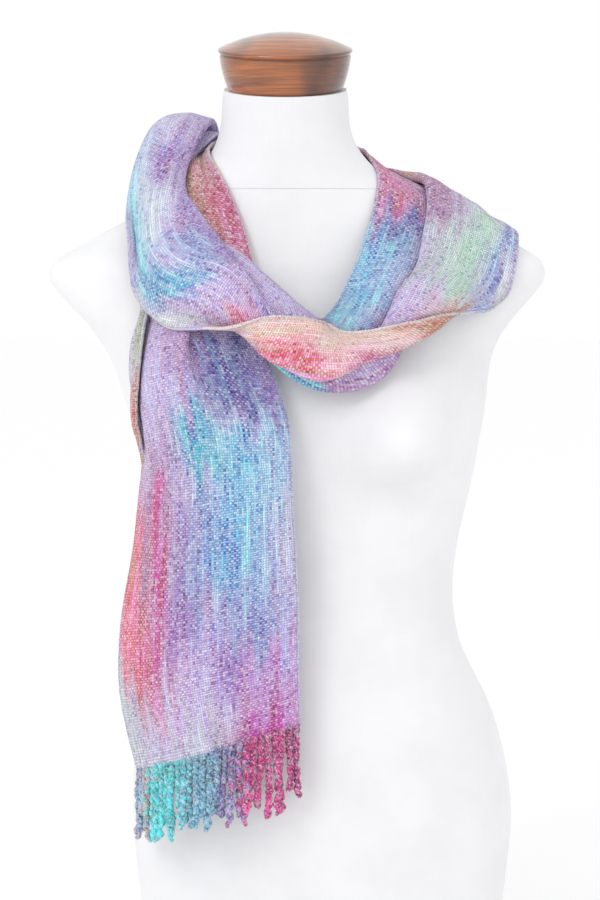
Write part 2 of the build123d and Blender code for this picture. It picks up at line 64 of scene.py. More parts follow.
# The drape, station by station, from the front end of the cloth to the back end: the inner selvedge,
# the outer edge of what shows, how far the cloth bulges between them, how much of its outer side is
# turned over on top of itself, and how far from the inner side the fold of its pleat shows.
ROUTE = [
    ((-20, -118, 240), (-153, -74, 194), 28, 0, 60),
    ((-21, -119, 296), (-170, -66, 258), 34, 0, 60),
    ((-22, -120, 350), (-168, -66, 320), 35, 0, 60),
    ((-25, -122, 404), (-156, -70, 382), 38, 0, 60),
    ((-27, -120, 453), (-152, -74, 436), 40, 0, 60),
    ((-30, -114, 491), (-154, -72, 477), 38, 9, 60),
    ((-42, -106, 528), (-158, -58, 516), 30, 16, 50),
    ((-54, -94, 564), (-152, -48, 554), 24, 16, 40),
    ((-55, -82, 597), (-146, -38, 589), 20, 10, 40),
    ((-63, -64, 636), (-148, -22, 623), 16, 0, 40),
    ((-73, -46, 674), (-147, -4, 651), 12, 0, 35),
    ((-83, -18, 704), (-148, 18, 665), 9, 0, 30),
    ((-84, 22, 722), (-140, 80, 638), 9, 0, 30),
    ((-62, 54, 732), (-98, 112, 612), 10, 0, 30),
    ((-31, 68, 738), (-31, 116, 592), 8, 0, 30),
    ((2, 58, 734), (44, 112, 610), 10, 0, 30),
    ((30, 32, 722), (118, 86, 632), 9, 0, 31),
    ((43, 6, 713), (143, 22, 632), 9, 0, 32),
    ((47, -28, 687), (147, 2, 617), 8, 0, 33),
    ((43, -56, 657), (144, -16, 601), 8, 0, 34),
    ((32, -78, 626), (137, -34, 585), 10, 0, 35),
    ((19, -95, 597), (126, -64, 572), 12, 0, 36),
    ((14, -97, 585), (103, -84, 559), 10, 20, 36),
    ((9, -99, 578), (78, -95, 548), 8, 31, 35),
    ((4, -101, 572), (50, -103, 537), 6, 37, 33),
    ((0, -102, 570), (24, -108, 525), 4, 45, 30),
    ((-6, -103, 571), (-1, -111, 516), 4, 52, 30),
    ((-15, -104, 578), (-26, -116, 522), 5, 50, 28),
    ((-27, -106, 590), (-50, -122, 533), 8, 39, 24),
    ((-40, -104, 601), (-71, -120, 547), 11, 23, 16),
    ((-53, -98, 612), (-92, -114, 557), 14, 7, 6),
    ((-66, -90, 622), (-112, -104, 559), 18, 0, -3),
    ((-79, -80, 631), (-132, -90, 564), 22, 0, -4),
    ((-90, -70, 639), (-144, -75, 576), 24, 0, -4),
    ((-97, -58, 648), (-151, -58, 590), 25, 0, -4),
    ((-104, -42, 662), (-158, -42, 614), 26, 0, -4),
    ((-108, -24, 680), (-162, -24, 646), 25, 0, -4),
    ((-103, -4, 707), (-160, -4, 677), 21, 0, -4),
    ((-90, 22, 731), (-152, 22, 701), 16, 0, -4),
    ((-84, 58, 720), (-146, 72, 676), 14, 0, 0),
    ((-66, 90, 680), (-150, 98, 640), 14, 0, 20),
    ((-42, 112, 626), (-152, 104, 604), 18, 0, 40),
    ((-26, 118, 570), (-154, 102, 558), 23, 0, 50),
    ((-20, 122, 512), (-155, 100, 502), 24, 0, 60),
    ((-17, 124, 454), (-156, 97, 446), 24, 0, 60),
    ((-15, 124, 396), (-156, 97, 388), 24, 0, 60),
    ((-15, 126, 338), (-155, 99, 330), 22, 0, 60),
    ((-15, 128, 280), (-154, 101, 272), 20, 0, 60),
]
ROLL_STARTS = 28.5       # the station from which the cloth lies over the tail
HOLD = 0.35              # how firmly the drape is held while the cloth settles
GROWTH = -0.035          # the threads' slack, which wrinkles the cloth
FRAMES = 24


# ---------------------------------------------------------------- small helpers
def mesh_object(name, vertices, faces):
    mesh = bpy.data.meshes.new(name)
    mesh.from_pydata([tuple(v) for v in vertices], [], faces)
    mesh.polygons.foreach_set("use_smooth", [True] * len(mesh.polygons))
    obj = bpy.data.objects.new(name, mesh)
    bpy.context.scene.collection.objects.link(obj)
    return obj


def apply_modifiers(obj):
    """Turns what the modifiers show into the object's own mesh."""
    shown = obj.evaluated_get(bpy.context.evaluated_depsgraph_get())
    mesh = bpy.data.meshes.new_from_object(shown)
    obj.modifiers.clear()
    obj.data = mesh


def jersey_outside():
    """The outer faces of the jersey, in metres: those that face away from the form's middle."""
    vertices, faces = [], []
    for name in ("torso_cover", "neck_cover"):
        mesh = nodes[name].data
        start = len(vertices)
        vertices += [v.co.copy() for v in mesh.vertices]
        for face in mesh.polygons:
            middle = Vector((-0.02, 0.0, min(face.center.z, 0.56)))
            if face.normal.dot(face.center - middle) > 0:
                faces.append([start + i for i in face.vertices])
    return vertices, faces


body_tree = BVHTree.FromPolygons(*jersey_outside())


def clear_of_body(point, clearance, loft=1000.0):
    """The point, in millimetres, moved until it is clear of the jersey but no more than loft above that."""
    place, normal, _, _ = body_tree.find_nearest(point * MM)
    painted_gap_shade_and_crown_light = (point - place / MM).dot(normal)
    return point + normal * (min(max(painted_gap_shade_and_crown_light, clearance), clearance + loft) - painted_gap_shade_and_crown_light)


def smoothed(values, reach):
    """A moving average of points along a line, with its ends held."""
    result = []
    for i in range(len(values)):
        r = min(reach, i, len(values) - 1 - i)
        window = values[i - r:i + r + 1]
        result.append(sum(window, Vector([0] * len(values[0]))) / len(window))
    return result


def evenly(points, count):
    """count + 1 points at equal steps along a line, its length taken in x and y only."""
    total = [0.0]
    for a, b in zip(points, points[1:]):
        total.append(total[-1] + (b.xy - a.xy).length)
    result, k = [], 0
    for i in range(count + 1):
        at = total[-1] * i / count
        while k < len(points) - 2 and total[k + 1] < at:
            k += 1
        span = max(total[k + 1] - total[k], 1e-9)
        result.append(points[k].lerp(points[k + 1], (at - total[k]) / span))
    return result


# ---------------------------------------------------------------- the scarf's drape
def section(chord, bow, flap, line):
    """The cloth's section as points (along the chord, outwards, lift of the layer), at equal steps."""
    laid = chord + 8 / 3 * bow**2 / chord
    tuck = max(0.0, (CLOTH_WIDTH - flap - laid - SLACK_IN_BOW) / 2)
    spare = max(0.0, CLOTH_WIDTH - flap - 2 * tuck - chord)
    bow = math.sqrt(3 / 8 * spare * chord)
    lift = LAYER_GAP * min(1.0, tuck / 8)
    turned = LAYER_GAP * min(1.0, flap / 8)
    legs = [(0.0, line + tuck, 0.0), (line + tuck, line, lift), (line, chord, 2 * lift),
            (chord, chord - flap, 2 * lift + turned)]
    points = []
    for start, end, height in legs:
        steps = max(2, round(abs(end - start)))
        for i in range(steps + 1):
            along = start + (end - start) * i / steps
            share = min(1.0, max(0.0, along / chord))
            points.append(Vector((along, height + 4 * bow * share * (1 - share), height)))
    return evenly(smoothed(points, 3), COLUMNS)


def station_points():
    """Every station's section, placed in space, with the height of each of its layers."""
    middles = [(Vector(row[0]) + Vector(row[1])) / 2 for row in ROUTE]
    outwards = []
    for i, row in enumerate(ROUTE):
        run = middles[min(i + 1, len(ROUTE) - 1)] - middles[max(i - 1, 0)]
        outwards.append((Vector(row[0]) - Vector(row[1])).cross(run).normalized())
    outwards = smoothed(outwards, 1)
    stations = []
    for (inner, outer, bow, flap, line), out in zip(ROUTE, outwards):
        inner, outer = Vector(inner), Vector(outer)
        along = (outer - inner).normalized()
        out = (out - out.dot(along) * along).normalized()
        shape = section((outer - inner).length, bow, flap, line)
        stations.append([(inner + along * p.x + out * p.y, p.z) for p in shape])
    return stations


def catmull(p0, p1, p2, p3, t):
    return 0.5 * (2 * p1 + (p2 - p0) * t + (2 * p0 - 5 * p1 + 4 * p2 - p3) * t**2
                  + (3 * p1 - p0 - 3 * p2 + p3) * t**3)


def drape_net():
    """Rows of points along the cloth, clear of the body, and each row's place along the stations."""
    stations = station_points()
    rows, places = [], []
    last = len(stations) - 1
    for k in range(last):
        quad = [stations[max(0, min(last, k + j))] for j in (-1, 0, 1, 2)]
        mean = sum((a[0] - b[0]).length for a, b in zip(quad[1], quad[2])) / (COLUMNS + 1)
        steps = max(1, round(mean / ROW_STEP))
        for i in range(steps + (k == last - 1)):
            t = i / steps
            over = OVER_TAIL * min(1.0, max(0.0, k + t - ROLL_STARTS))
            loose = FREE_LOFT * max(0.0, CLOSE_FROM - k - t, k + t - CLOSE_TO)
            row = []
            for c in range(COLUMNS + 1):
                point = catmull(*(q[c][0] for q in quad), t)
                lift = quad[1][c][1] * (1 - t) + quad[2][c][1] * t
                loft = CLOSE_LOFT + MIDDLE_LOFT * math.sin(math.pi * c / COLUMNS) + loose
                row.append(clear_of_body(point, BODY_CLEARANCE + lift + over, loft))
            rows.append(row)
            places.append(k + t)
    return rows, places


# ---------------------------------------------------------------- dye, and one painted shadow
def tone(red, green, blue):
    """An sRGB colour, 0 to 255, as the linear light that the materials work in."""
    shares = [v / 255 for v in (red, green, blue)]
    return tuple(v / 12.92 if v < 0.0431 else ((v + 0.055) / 1.055) ** 2.4 for v in shares)


LILAC, MIST, FROST = tone(206, 190, 226), tone(201, 199, 216), tone(216, 224, 236)
ROSE, CORAL, PINK = tone(206, 132, 164), tone(232, 142, 158), tone(242, 204, 212)
MAUVE, VIOLET, PLUM = tone(184, 152, 190), tone(162, 134, 192), tone(172, 132, 170)
ORCHID, MAGENTA, WINE = tone(202, 160, 212), tone(186, 84, 156), tone(140, 60, 120)
FUCHSIA = tone(206, 60, 142)
SKY, CYAN, BLUE = tone(156, 200, 228), tone(140, 206, 222), tone(122, 166, 204)
ICE, PERIWINKLE, INDIGO = tone(182, 210, 234), tone(160, 172, 212), tone(118, 122, 176)
AQUA, TEAL, MINT = tone(92, 222, 226), tone(124, 182, 206), tone(192, 218, 206)
MOSS = tone(184, 190, 172)
CREAM, PEACH, RUST = tone(216, 220, 222), tone(242, 216, 206), tone(198, 146, 120)
# the brown here is a painted shadow, not a dye
TAN, PAINTED_SHADOW_BROWN, GREY = tone(206, 168, 154), tone(164, 120, 112), tone(196, 198, 208)

# Patches of dye, one of them a painted shadow: the stations they run between, where their middle lies
# across the cloth (0 at the inner selvedge, 1 at the outer one), their half width, and their colour. Later
# ones lie on top.
PATCHES = [
    # the tail in front
    (1.2, 5.0, 0.64, 0.13, MAUVE), (0.7, 3.6, 0.84, 0.17, ROSE), (1.1, 3.2, 0.94, 0.13, CORAL),
    (1.6, 4.5, 0.70, 0.035, FUCHSIA), (2.2, 4.8, 0.80, 0.03, PLUM), (1.5, 3.4, 0.52, 0.09, VIOLET),
    (2.1, 4.8, 0.26, 0.20, SKY),
    (3.2, 5.2, 0.10, 0.09, ICE), (2.1, 3.3, 0.02, 0.05, MIST), (1.2, 2.2, 0.24, 0.16, PERIWINKLE),
    (0.6, 1.4, 0.34, 0.08, VIOLET), (3.9, 5.2, 0.42, 0.12, TEAL), (-1.0, 0.5, 0.55, 0.45, MIST),
    (-1.0, 1.0, 1.00, 0.14, GREY), (0.4, 1.1, 0.10, 0.16, ORCHID), (-1.0, 0.38, 0.12, 0.18, MAGENTA),
    (5.0, 6.7, 0.20, 0.20, INDIGO), (5.2, 6.0, 0.06, 0.06, VIOLET), (5.8, 8.0, 0.50, 0.12, MAUVE),
    (5.2, 7.6, 0.76, 0.16, LILAC), (4.2, 5.9, 0.99, 0.08, RUST), (5.9, 7.6, 0.99, 0.08, MOSS),
    # the brown patch, 0.42 across from station 7.6 to 11.5, is a painted shadow, not a dye
    (7.5, 12.0, 0.20, 0.40, TAN), (7.8, 10.6, 0.00, 0.12, ROSE), (7.6, 11.5, 0.42, 0.12, PAINTED_SHADOW_BROWN),
    # round the neck and over the right shoulder
    (12.5, 16.5, 0.30, 0.40, MAUVE), (15.8, 18.9, 0.34, 0.22, PLUM), (15.8, 19.0, 0.05, 0.12, ROSE),
    (16.2, 17.6, 0.42, 0.10, TAN), (18.6, 21.0, 0.52, 0.18, GREY), (16.6, 18.9, 0.54, 0.13, PLUM),
    (17.6, 21.2, 0.78, 0.13, MINT),
    (18.7, 20.2, 0.16, 0.14, INDIGO), (19.4, 24.5, 0.06, 0.18, SKY), (19.0, 20.6, 0.40, 0.10, LILAC),
    (17.8, 20.6, 0.94, 0.05, PERIWINKLE), (18.8, 21.2, 1.00, 0.03, CREAM),
    # the band on the chest
    (21.2, 30.0, 0.95, 0.18, PEACH), (25.2, 29.8, 0.79, 0.09, CORAL), (23.4, 26.2, 0.82, 0.05, PINK),
    (20.9, 22.6, 0.94, 0.12, RUST), (22.4, 25.0, 0.77, 0.05, ROSE), (28.6, 30.4, 0.84, 0.06, MAUVE),
    (22.0, 26.0, 0.36, 0.12, PLUM), (25.9, 30.0, 0.36, 0.12, CYAN), (28.2, 30.0, 0.30, 0.08, BLUE),
    # the roll on the left shoulder
    (28.6, 32.6, 0.46, 0.15, VIOLET), (28.9, 32.2, 0.34, 0.06, INDIGO), (29.2, 37.4, 0.52, 0.07, VIOLET),
    (30.4, 36.6, 0.68, 0.10, LILAC),
    (31.0, 33.6, 0.62, 0.08, PERIWINKLE), (31.8, 36.4, 0.84, 0.10, CYAN), (31.2, 33.4, 0.80, 0.06, BLUE),
    (30.6, 33.4, 0.99, 0.06, CREAM), (34.2, 38.4, 0.74, 0.08, FROST), (36.2, 37.4, 0.66, 0.08, VIOLET),
    (36.0, 38.6, 0.95, 0.12, ICE), (37.2, 39.4, 0.60, 0.16, LILAC),
    # the tail behind
    (40.0, 44.0, 0.80, 0.16, SKY), (41.0, 47.5, 0.20, 0.16, ROSE), (42.0, 46.0, 0.50, 0.14, VIOLET),
    (44.0, 48.0, 0.88, 0.14, MINT), (45.5, 48.5, 0.10, 0.18, CORAL), (46.0, 48.5, 0.60, 0.20, ICE),
]
# How far, in stations, each column of yarns took its dyes up further along than its neighbours.
FEATHER = [random.Random(column).uniform(-0.42, 0.42) for column in range(COLUMNS + 1)]


def dye_and_painted_shadow_at(place, across):
    """The colour at a station and a share of the cloth's width: dye, with a painted shadow in one patch;
    each few yarns took it up to another place.
    """
    colour = Vector(LILAC)
    place += FEATHER[round(across * COLUMNS)]
    for start, end, middle, half, patch in PATCHES:
        lean = middle + 0.04 * math.sin(place * 2.1 + middle * 9)
        along = min(1, max(0, (place - start) / 0.4 + 0.5)) * min(1, max(0, (end - place) / 0.4 + 0.5))
        colour = colour.lerp(Vector(patch), along * math.exp(-((across - lean) / half) ** 2))
    return colour


# ---------------------------------------------------------------- building the cloth
WIDTH = COLUMNS + 1


def flat_lengths(rows):
    """How far along the cloth each row lies, in metres."""
    lengths = [0.0]
    for row, after in zip(rows, rows[1:]):
        lengths.append(lengths[-1] + MM * sum((a - b).length for a, b in zip(row, after)) / WIDTH)
    return lengths


def build_cloth(rows, places, lengths):
    faces = []
    for r in range(len(rows) - 1):
        for c in range(COLUMNS):
            a = r * WIDTH + c
            faces.append((a, a + 1, a + WIDTH + 1, a + WIDTH))
    cloth = mesh_object("scarf_weave", [p * MM for row in rows for p in row], faces)
    mesh = cloth.data
    flat = mesh.uv_layers.new(name="flat")
    for loop in mesh.loops:
        r, c = divmod(loop.vertex_index, WIDTH)
        flat.data[loop.index].uv = (CLOTH_WIDTH * MM * c / COLUMNS, lengths[r])
    dye_and_shade = mesh.attributes.new("dye_and_shade", "FLOAT_COLOR", "POINT")
    for i in range(len(mesh.vertices)):
        r, c = divmod(i, WIDTH)
        dye_and_shade.data[i].color = (*dye_and_painted_shadow_at(places[r], c / COLUMNS), 1.0)
    return cloth


def settle(cloth):
    """Lets the cloth settle on the form, a little slack in its threads wrinkling it."""
    body = mesh_object("settling_form", *jersey_outside())
    body.modifiers.new("solid", "COLLISION")
    body.collision.thickness_outer = 0.0012
    body.collision.cloth_friction = 60
    hold = cloth.vertex_groups.new(name="hold")
    hold.add(range(len(cloth.data.vertices)), HOLD, "REPLACE")
    sim = cloth.modifiers.new("drape", "CLOTH")
    sim.settings.quality = 6
    sim.settings.mass = 0.25
    sim.settings.tension_stiffness = 12
    sim.settings.compression_stiffness = 12
    sim.settings.shear_stiffness = 3
    sim.settings.bending_stiffness = 0.15
    sim.settings.air_damping = 3
    sim.settings.vertex_group_mass = "hold"
    sim.settings.pin_stiffness = 0.6
    sim.settings.shrink_min = GROWTH
    sim.collision_settings.distance_min = 0.0012
    sim.collision_settings.use_self_collision = True
    sim.collision_settings.self_distance_min = 0.0020
    sim.collision_settings.self_friction = 20
    sim.collision_settings.collision_quality = 3
    sim.point_cache.frame_end = FRAMES
    for frame_number in range(1, FRAMES + 1):
        bpy.context.scene.frame_set(frame_number)
    apply_modifiers(cloth)
    bpy.context.scene.frame_set(1)
    bpy.data.objects.remove(body)


def eased(cloth, row_count):
    """Takes the sharpest kinks out of the cloth, along its length, and returns its grid of points."""
    points = [v.co.copy() for v in cloth.data.vertices]
    columns = [smoothed(points[c::WIDTH], 2) for c in range(WIDTH)]
    grid = [[column[r] for column in columns] for r in range(row_count)]
    for vertex, point in zip(cloth.data.vertices, (p for row in grid for p in row)):
        vertex.co = point
    return grid


def tube(vertices, faces, shades, spine, radii, colours, sides=6):
    """Adds a round yarn along a line of points, with its radius and colour at each of them."""
    start = len(vertices)
    for i, point in enumerate(spine):
        along = (spine[min(i + 1, len(spine) - 1)] - spine[max(i - 1, 0)]).normalized()
        side = along.orthogonal().normalized() if i == 0 else (side - side.dot(along) * along).normalized()
        up = along.cross(side)
        for k in range(sides):
            angle = 2 * math.pi * k / sides
            vertices.append(point + (side * math.cos(angle) + up * math.sin(angle)) * radii[i])
            shades.append(colours[i])
    for i in range(len(spine) - 1):
        for k in range(sides):
            a, b = start + i * sides + k, start + i * sides + (k + 1) % sides
            faces.append((a, b, b + sides, a + sides))
    last = start + (len(spine) - 1) * sides
    faces.append(tuple(start + k for k in reversed(range(sides))))
    faces.append(tuple(last + k for k in range(sides)))


def yarn_object(name, vertices, faces, shades):
    obj = mesh_object(name, vertices, faces)
    dye_and_shade = obj.data.attributes.new("dye_and_shade", "FLOAT_COLOR", "POINT")
    for i, shade in enumerate(shades):
        dye_and_shade.data[i].color = (*shade, 1.0)
    return obj


def fringe(name, edge, outwards, colour_at, rng):
    """Twisted pairs of knobbly warp ends hanging from one end of the cloth; edge is in metres."""
    vertices, faces, shades = [], [], []
    for t in range(TASSELS):
        across = (t + 0.5) / TASSELS
        at = across * (len(edge) - 1)
        root = edge[int(at)].lerp(edge[min(int(at) + 1, len(edge) - 1)], at - int(at))
        length = FRINGE_LENGTH * MM * rng.uniform(0.84, 1.12)
        sway = Vector((rng.uniform(-0.05, 0.05), rng.uniform(-0.04, 0.02) * outwards, 0))
        wave, phase = rng.uniform(0.8, 2.4) * MM, rng.uniform(0, 6.28)
        turns = rng.uniform(4.5, 6.5)
        for ply in (0, 1):
            knobs = [rng.uniform(0.72, 1.25) for _ in range(TASSEL_STEPS + 1)]
            length_here = length * rng.uniform(0.9, 1.0)
            spine, radii, colours = [], [], []
            for i in range(TASSEL_STEPS + 1):
                share = i / TASSEL_STEPS
                turn = phase + math.pi * ply + 2 * math.pi * turns * share
                point = root + sway * length_here * share + Vector((0, 0, 0.002 - length_here * share))
                bend = Vector((math.sin(phase + 5 * share), math.cos(phase + 4 * share), 0))
                point += bend * wave * share
                point += Vector((math.cos(turn), math.sin(turn), 0)) * PLY_OFFSET * MM
                spine.append(clear_of_body(point / MM, TASSEL_CLEARANCE) * MM)
                radii.append(PLY_RADIUS * MM * knobs[i] * (0.6 if i == TASSEL_STEPS else 1.0))
                colours.append(colour_at(across, share, rng))
            tube(vertices, faces, shades, spine, radii, colours)
    return yarn_object(name, vertices, faces, shades)


def selvedges(name, edges, lengths, places):
    """The pale turns of weft yarn that stand up along both sides of the cloth."""
    vertices, faces, shades = [], [], []
    for across, edge in edges:
        spine, radii, colours = [], [], []
        for r in range(len(edge) - 1):
            parts = max(2, round((lengths[r + 1] - lengths[r]) / (YARN_PITCH * MM / 2)))
            for i in range(parts):
                spine.append(edge[r].lerp(edge[r + 1], i / parts))
                radii.append(SELVEDGE_RADII[len(radii) % 2] * MM)
                shade = dye_and_painted_shadow_at(places[r], across)
                colours.append(shade.lerp(Vector(FROST), 0.55 if len(radii) % 2 else 0.15))
        tube(vertices, faces, shades, spine, radii, colours)
    return yarn_object(name, vertices, faces, shades)


FRONT_DYES = [(0.00, WINE), (0.05, FUCHSIA), (0.27, FUCHSIA), (0.32, VIOLET), (0.40, INDIGO), (0.47, TEAL),
              (0.60, TEAL), (0.66, AQUA), (0.86, AQUA), (0.90, TAN), (0.94, LILAC), (1.00, TEAL)]
BACK_DYES = [(0.00, CORAL), (0.30, ROSE), (0.45, VIOLET), (0.65, ICE), (1.00, MINT)]


def fringe_dye_and_shade(stops):
    def colour_at(across, share, rng):
        across = min(1.0, max(0.0, across + rng.gauss(0.0, 0.035)))
        for (low, a), (high, b) in zip(stops, stops[1:]):
            if across <= high:
                base = Vector(a).lerp(Vector(b), (across - low) / (high - low))
                break
        # painted yarn shading: each ring of a ply darker or lighter at random, and the root end darker than
        # the tip
        random_tone_and_painted_shade = rng.uniform(0.55, 1.25) * (0.90 + 0.25 * share)
        pale = rng.random() ** 5 * 0.4
        return (base * random_tone_and_painted_shade).lerp(Vector(FROST), pale)
    return colour_at


rows, places = drape_net()
lengths = flat_lengths(rows)
cloth = build_cloth(rows, places, lengths)
settle(cloth)
grid = eased(cloth, len(rows))
rng = random.Random(11)
front_fringe = fringe("scarf_front_tassels", grid[0], -1, fringe_dye_and_shade(FRONT_DYES), rng)
back_fringe = fringe("scarf_back_tassels", grid[-1], 1, fringe_dye_and_shade(BACK_DYES), rng)
selvedge = selvedges("scarf_selvedge", [(0.0, [row[0] for row in grid]), (1.0, [row[-1] for row in grid])],
                     lengths, places)

rounded = cloth.modifiers.new("rounded", "SUBSURF")
rounded.levels = 1
rounded.subdivision_type = "CATMULL_CLARK"
solid = cloth.modifiers.new("thickness", "SOLIDIFY")
solid.thickness = CLOTH_THICKNESS * MM
solid.offset = 0
apply_modifiers(cloth)
for piece in (cloth, selvedge, front_fringe, back_fringe):
    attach(piece, "form")
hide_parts("scarf_cloth")
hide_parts("scarf_front_fringe")
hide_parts("scarf_back_fringe")


# ---------------------------------------------------------------- materials
class Shade:
    """A material's node tree, with short ways to add nodes to it."""

    def __init__(self, name):
        self.material = bpy.data.materials.new(name)
        self.material.use_nodes = True
        self.tree = self.material.node_tree
        self.shader = self.tree.nodes["Principled BSDF"]

    def feed(self, socket, value):
        if isinstance(value, bpy.types.NodeSocket):
            self.tree.links.new(value, socket)
        elif isinstance(value, tuple) and len(value) == 3 and socket.type == "RGBA":
            socket.default_value = (*value, 1.0)
        else:
            socket.default_value = value

    def add(self, kind, **inputs):
        node = self.tree.nodes.new(kind)
        for name, value in inputs.items():
            self.feed(node.inputs[name.replace("_", " ")], value)
        return node

    def maths(self, operation, a, b=0.0, c=0.0):
        node = self.tree.nodes.new("ShaderNodeMath")
        node.operation = operation
        for socket, value in zip(node.inputs, (a, b, c)):
            self.feed(socket, value)
        return node.outputs[0]

    def mix(self, share, a, b, blend="MIX"):
        node = self.tree.nodes.new("ShaderNodeMix")
        node.data_type = "RGBA"
        node.blend_type = blend
        self.feed(node.inputs["Factor"], share)
        self.feed(node.inputs[6], a)
        self.feed(node.inputs[7], b)
        return node.outputs[2]

    def spread(self, value, low, high, to_low=0.0, to_high=1.0):
        """A value remapped smoothly from one range to another."""
        node = self.tree.nodes.new("ShaderNodeMapRange")
        node.interpolation_type = "SMOOTHSTEP"
        for socket, given in zip(node.inputs, (value, low, high, to_low, to_high)):
            self.feed(socket, given)
        return node.outputs[0]

    def place(self, stretch=(1, 1, 1)):
        """The place on the piece, in metres, stretched along each axis."""
        node = self.tree.nodes.new("ShaderNodeVectorMath")
        node.operation = "MULTIPLY"
        self.feed(node.inputs[0], self.add("ShaderNodeTexCoord").outputs["Object"])
        node.inputs[1].default_value = stretch
        return node.outputs[0]

    def noise(self, where, scale, detail=2.0, rough=0.5):
        node = self.add("ShaderNodeTexNoise", Vector=where, Scale=scale, Detail=detail, Roughness=rough)
        return node.outputs["Fac"]

    def bump(self, height, strength, distance):
        node = self.add("ShaderNodeBump", Height=height, Strength=strength, Distance=distance)
        self.feed(self.shader.inputs["Normal"], node.outputs[0])

    def look(self, **inputs):
        for name, value in inputs.items():
            self.feed(self.shader.inputs[name.replace("_", " ")], value)
        return self.material


def weave_material():
    """Plain weave in space-dyed chenille: deep warp and paler weft yarns, each over one, under one, with
    painted shade in the gaps and painted highlight on the crowns.
    """
    shade = Shade("scarf_chenille")
    flat = shade.tree.nodes.new("ShaderNodeUVMap")
    flat.uv_map = "flat"
    uneven = shade.add("ShaderNodeTexNoise", Vector=flat.outputs[0], Scale=90.0, Detail=1.0)
    axes = shade.add("ShaderNodeSeparateXYZ", Vector=flat.outputs[0])
    drift = shade.add("ShaderNodeSeparateColor", Color=uneven.outputs["Color"])
    warp_count, weft_count = [
        shade.maths("ADD", shade.maths("DIVIDE", axes.outputs[k], YARN_PITCH * MM),
                    shade.maths("MULTIPLY", drift.outputs[k], 0.9)) for k in (0, 1)]
    warp, weft = shade.maths("FLOOR", warp_count), shade.maths("FLOOR", weft_count)

    def rounded_yarn(count):
        return shade.maths("ABSOLUTE", shade.maths("SINE", shade.maths("MULTIPLY", count, math.pi)))

    def on_top(along, yarn, sign):
        wave = shade.maths("SINE", shade.maths("MULTIPLY", shade.maths("ADD", along, yarn), math.pi))
        return shade.maths("MULTIPLY_ADD", wave, 0.34 * sign, 0.66)

    warp_height = shade.maths("MULTIPLY", rounded_yarn(warp_count), on_top(weft_count, warp, 1))
    weft_height = shade.maths("MULTIPLY", rounded_yarn(weft_count), on_top(warp_count, weft, -1))
    height = shade.maths("MAXIMUM", warp_height, weft_height)
    warp_shows = shade.maths("GREATER_THAN", warp_height, weft_height)

    def cell(x, y):
        return shade.add("ShaderNodeCombineXYZ", X=x, Y=y).outputs[0]

    cell_noise = shade.add("ShaderNodeTexWhiteNoise", Vector=cell(warp, weft))
    warp_run = shade.noise(cell(shade.maths("MULTIPLY", warp, 7.31),
                                shade.maths("MULTIPLY", weft_count, 0.06)), 1.0)
    weft_run = shade.noise(cell(shade.maths("MULTIPLY", warp_count, 0.22),
                                shade.maths("MULTIPLY", weft, 5.77)), 1.0)
    dye_and_shade = shade.add("ShaderNodeAttribute")
    dye_and_shade.attribute_name = "dye_and_shade"
    streak = shade.noise(cell(shade.maths("MULTIPLY", axes.outputs[0], 170.0),
                              shade.maths("MULTIPLY", axes.outputs[1], 9.0)), 1.0, 3.0, 0.65)
    deep = shade.add("ShaderNodeHueSaturation", Color=dye_and_shade.outputs["Color"],
                     Saturation=shade.maths("MULTIPLY_ADD", streak, 1.9, 0.50),
                     Hue=shade.maths("MULTIPLY_ADD", shade.maths("ADD", warp_run, streak), 0.32, 0.18),
                     Value=shade.maths("MULTIPLY_ADD", shade.maths("ADD", warp_run, streak), -1.4, 2.38))
    light = shade.mix(shade.spread(weft_run, 0.3, 0.7, 0.0, 0.34), dye_and_shade.outputs["Color"],
                      tone(236, 234, 242))
    colour = shade.mix(shade.maths("MULTIPLY_ADD", warp_shows, 0.62, 0.22), light, deep.outputs[0])
    fleck = shade.spread(cell_noise.outputs["Value"], 0.68, 1.0, 0.0, 0.38)
    colour = shade.mix(fleck, colour, tone(240, 240, 246))
    soaked = shade.add("ShaderNodeGamma", Color=colour, Gamma=2.3)
    colour = shade.mix(shade.spread(cell_noise.outputs["Value"], 0.24, 0.0, 0.0, 0.7), colour,
                       soaked.outputs[0])
    # painted shade and highlight: colour times 0.74 in the gaps between yarns, up to 1.20 on their crowns
    painted_gap_shade_and_crown_light = shade.spread(height, 0.20, 0.70, 0.74, 1.20)
    painted_relief_grey = shade.add("ShaderNodeCombineColor", Red=painted_gap_shade_and_crown_light, Green=painted_gap_shade_and_crown_light, Blue=painted_gap_shade_and_crown_light)
    colour = shade.mix(1.0, colour, painted_relief_grey.outputs[0], "MULTIPLY")
    fuzz = shade.noise(shade.place(), 1400.0, 3.0, 0.7)
    shade.bump(shade.maths("MULTIPLY_ADD", fuzz, 0.5, height), 1.0, 0.0012)
    return shade.look(Base_Color=colour, Roughness=0.88, Sheen_Weight=0.35, Sheen_Roughness=0.45,
                      Sheen_Tint=(1.0, 1.0, 1.0), Specular_IOR_Level=0.25)


def yarn_material():
    """Loose chenille yarn: dyed tufts with paler tips."""
    shade = Shade("scarf_yarn_tufts")
    dye_and_shade = shade.add("ShaderNodeAttribute")
    dye_and_shade.attribute_name = "dye_and_shade"
    tuft = shade.noise(shade.place(), 620.0, 3.0, 0.7)
    pale = shade.spread(tuft, 0.50, 0.66, 0.0, 0.60)
    colour = shade.mix(pale, dye_and_shade.outputs["Color"], tone(238, 236, 244))
    soaked = shade.add("ShaderNodeGamma", Color=colour, Gamma=2.4)
    colour = shade.mix(shade.spread(tuft, 0.48, 0.36), colour, soaked.outputs[0])
    shade.bump(tuft, 1.0, 0.0012)
    return shade.look(Base_Color=colour, Roughness=0.85, Sheen_Weight=0.35, Sheen_Roughness=0.4)


